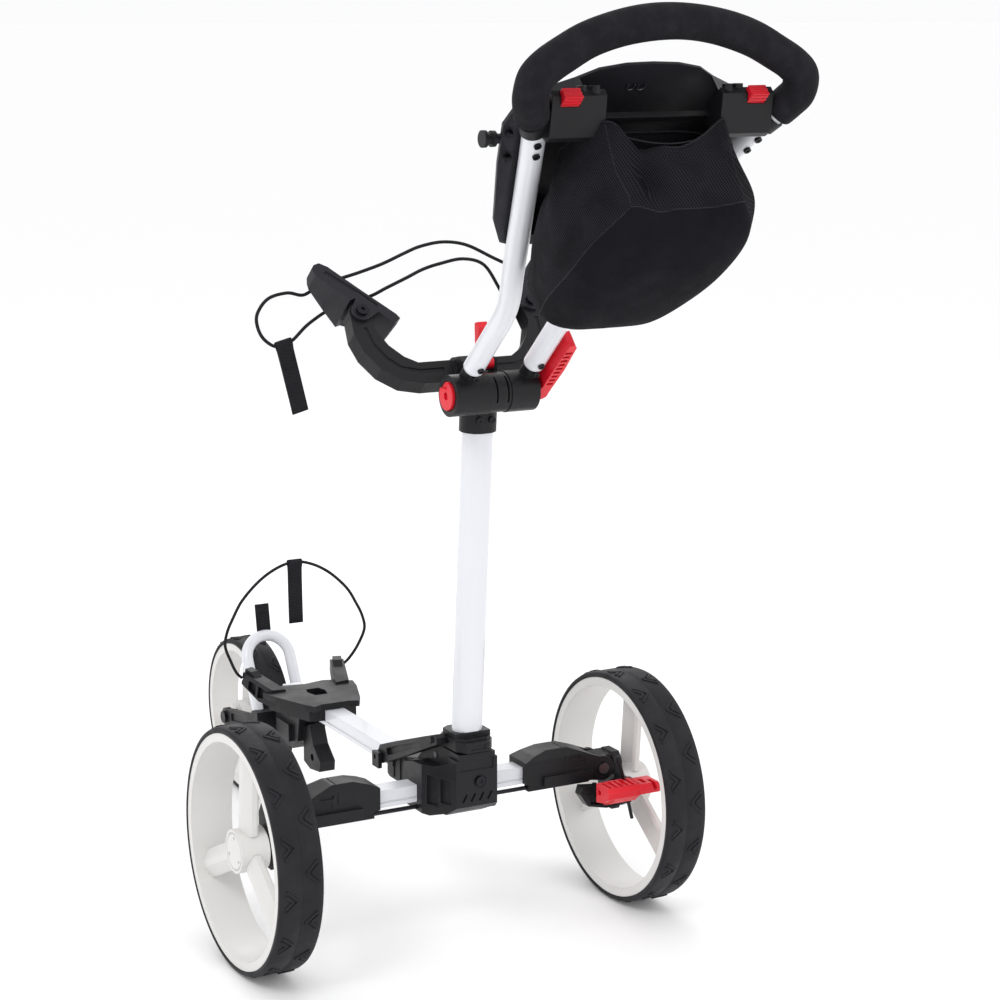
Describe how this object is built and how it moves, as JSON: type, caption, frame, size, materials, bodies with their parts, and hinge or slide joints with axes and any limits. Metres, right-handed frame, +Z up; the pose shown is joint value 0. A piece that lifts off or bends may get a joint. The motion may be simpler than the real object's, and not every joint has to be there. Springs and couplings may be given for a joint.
{
  "type": "golf push trolley",
  "caption": "Folding three-wheeled golf push trolley with a clamped folding handle, grip loop, console with mesh bag, and two strapped golf-bag brackets.",
  "frame": {"origin": "middle of the footprint box, on the floor", "axes": "+Z up, +Y the way the trolley is pushed, +X to the right of the person pushing"},
  "size_m": [0.56, 1.256, 1.1085],
  "materials": {
    "black_plastic": "moulded, fine grain",
    "grey_plastic": "moulded, fine grain",
    "white_paint": "gloss powder coat on aluminium",
    "white_plastic": "semi-gloss",
    "red_plastic": "satin",
    "tyre": "matte moulded foam tyre",
    "steel": "zinc plated",
    "black_metal": "black oxide",
    "foam": "soft foam",
    "mesh": "open mesh and plain woven nylon",
    "webbing": "woven webbing",
    "cord": "braided elastic cord"
  },
  "bodies": {
    "chassis": {"main_hub": "black_plastic", "hub_bolts": "black_metal", "spine_tube": "white_paint", "axle_tube_left": "white_paint", "axle_tube_right": "white_paint", "arm_housing_left": "black_plastic", "arm_housing_right": "black_plastic", "lower_bracket": "black_plastic", "fork_housing": "black_plastic", "lower_cord": "cord", "lower_cord_tab": "webbing", "hinge_pins": "steel"},
    "mast": {"mast_foot": "black_plastic", "mast_tube": "white_paint", "upper_hub": "black_plastic", "collar_screws": "black_metal"},
    "latch": {"mast_latch": "black_plastic"},
    "swing_left": {"swing_block_left": "black_plastic", "rear_axle_left": "steel"},
    "swing_right": {"swing_block_right": "black_plastic", "rear_axle_right": "steel"},
    "brake": {"brake_pedal": "red_plastic", "brake_pin": "black_metal"},
    "wheel_left": {"tyre_left": "tyre", "rim_left": "white_plastic", "bearings_left": "steel"},
    "wheel_right": {"tyre_right": "tyre", "rim_right": "white_plastic", "bearings_right": "steel"},
    "wheel_front": {"tyre_front": "tyre", "rim_front": "white_plastic", "bearings_front": "steel"},
    "rod_left": {"link_rod_left": "black_metal"},
    "rod_right": {"link_rod_right": "black_metal"},
    "fork": {"front_fork": "black_plastic", "front_axle": "black_metal"},
    "hoop": {"pull_hoop": "white_paint", "pull_tab": "webbing"},
    "handle": {"handle_barrel_left": "black_plastic", "handle_barrel_right": "black_plastic", "handle_tube": "white_paint", "foam_grip": "foam", "console_frame": "black_plastic", "console_shell": "grey_plastic", "card_clips": "steel", "handle_screws": "black_metal", "mesh_bag": "mesh", "bolt_cap": "red_plastic"},
    "cam": {"cam_lever": "red_plastic"},
    "button_left": {"console_button_left": "red_plastic"},
    "button_right": {"console_button_right": "red_plastic"},
    "knob": {"side_knob": "black_plastic"},
    "bracket": {"bag_bracket": "black_plastic", "bracket_screws": "black_metal", "upper_cord": "cord", "upper_cord_tab": "webbing", "cord_knots": "cord"},
    "pad_left": {"cradle_pad_left": "grey_plastic"},
    "pad_right": {"cradle_pad_right": "grey_plastic"},
    "release": {"bracket_release": "red_plastic"}
  },
  "joints": [
    {"name": "wheel_right_spin", "type": "hinge", "parent": "swing_right", "child": "wheel_right", "pos_m": [0.253, -0.10605, 0.147], "axis": [1, 0, 0], "continuous": true},
    {"name": "wheel_left_spin", "type": "hinge", "parent": "swing_left", "child": "wheel_left", "pos_m": [-0.253, -0.10605, 0.147], "axis": [1, 0, 0], "continuous": true},
    {"name": "wheel_front_spin", "type": "hinge", "parent": "fork", "child": "wheel_front", "pos_m": [0, 0.51595, 0.112], "axis": [1, 0, 0], "continuous": true},
    {"name": "wheel_fold_right", "type": "hinge", "parent": "chassis", "child": "swing_right", "pos_m": [0.208, -0.10605, 0.18], "axis": [0, 1, 0], "range_deg": [0, 90]},
    {"name": "wheel_fold_left", "type": "hinge", "parent": "chassis", "child": "swing_left", "pos_m": [-0.208, -0.10605, 0.18], "axis": [0, -1, 0], "range_deg": [0, 90]},
    {"name": "link_rod_right_slide", "type": "slide", "parent": "chassis", "child": "rod_right", "axis": [-1, 0, 0], "range_m": [0, 0.012]},
    {"name": "link_rod_left_slide", "type": "slide", "parent": "chassis", "child": "rod_left", "axis": [1, 0, 0], "range_m": [0, 0.012]},
    {"name": "mast_fold", "type": "hinge", "parent": "chassis", "child": "mast", "pos_m": [0, -0.12605, 0.232], "axis": [-1, 0, 0], "range_deg": [0, 70]},
    {"name": "mast_latch_lift", "type": "hinge", "parent": "chassis", "child": "latch", "pos_m": [-0.031, 0.00195, 0.197], "axis": [-1, 0, 0], "range_deg": [0, 36]},
    {"name": "front_wheel_fold", "type": "hinge", "parent": "chassis", "child": "fork", "pos_m": [0, 0.37395, 0.14], "axis": [0, 1, 0], "range_deg": [0, 90]},
    {"name": "hoop_pull", "type": "slide", "parent": "fork", "child": "hoop", "axis": [0, 0.4695, 0.8829], "range_m": [0, 0.012], "stiffness_N_per_m": 800},
    {"name": "brake_press", "type": "hinge", "parent": "swing_right", "child": "brake", "pos_m": [0.21, -0.15805, 0.162], "axis": [1, 0, 0], "range_deg": [0, 15]},
    {"name": "handle_fold", "type": "hinge", "parent": "mast", "child": "handle", "pos_m": [0, -0.22905, 0.681], "axis": [1, 0, 0], "range_deg": [0, 115]},
    {"name": "cam_lever_open", "type": "hinge", "parent": "handle", "child": "cam", "pos_m": [0.057, -0.22909, 0.68114], "axis": [0, 0.6743, 0.7385], "range_deg": [0, 100]},
    {"name": "bracket_fold", "type": "hinge", "parent": "mast", "child": "bracket", "pos_m": [0, -0.16265, 0.6959], "axis": [-1, 0, 0], "range_deg": [0, 40]},
    {"name": "pad_right_tilt", "type": "hinge", "parent": "bracket", "child": "pad_right", "pos_m": [0.11, -0.11694, 0.76725], "axis": [0, -0.7649, 0.6441], "range_deg": [-2, 2]},
    {"name": "pad_left_tilt", "type": "hinge", "parent": "bracket", "child": "pad_left", "pos_m": [-0.11, -0.11694, 0.76725], "axis": [0, -0.7649, 0.6441], "range_deg": [-2, 2]},
    {"name": "bracket_release_press", "type": "hinge", "parent": "mast", "child": "release", "pos_m": [0, -0.20605, 0.712], "axis": [1, 0, 0], "range_deg": [0, 18], "stiffness_Nm_per_rad": 0.3},
    {"name": "button_right_press", "type": "slide", "parent": "handle", "child": "button_right", "axis": [0, 0.7385, -0.6743], "range_m": [0, 0.0042], "stiffness_N_per_m": 400},
    {"name": "button_left_press", "type": "slide", "parent": "handle", "child": "button_left", "axis": [0, 0.7385, -0.6743], "range_m": [0, 0.0042], "stiffness_N_per_m": 400},
    {"name": "side_knob_turn", "type": "hinge", "parent": "handle", "child": "knob", "pos_m": [-0.152, -0.51371, 0.97896], "axis": [-1, 0, 0], "continuous": true}
  ],
  "couplings": [
    {"joint": "wheel_fold_left", "follows": "wheel_fold_right", "ratio": 1},
    {"joint": "link_rod_right_slide", "follows": "wheel_fold_right", "m_per_rad": 0.0075},
    {"joint": "link_rod_left_slide", "follows": "wheel_fold_right", "m_per_rad": 0.0075}
  ]
}
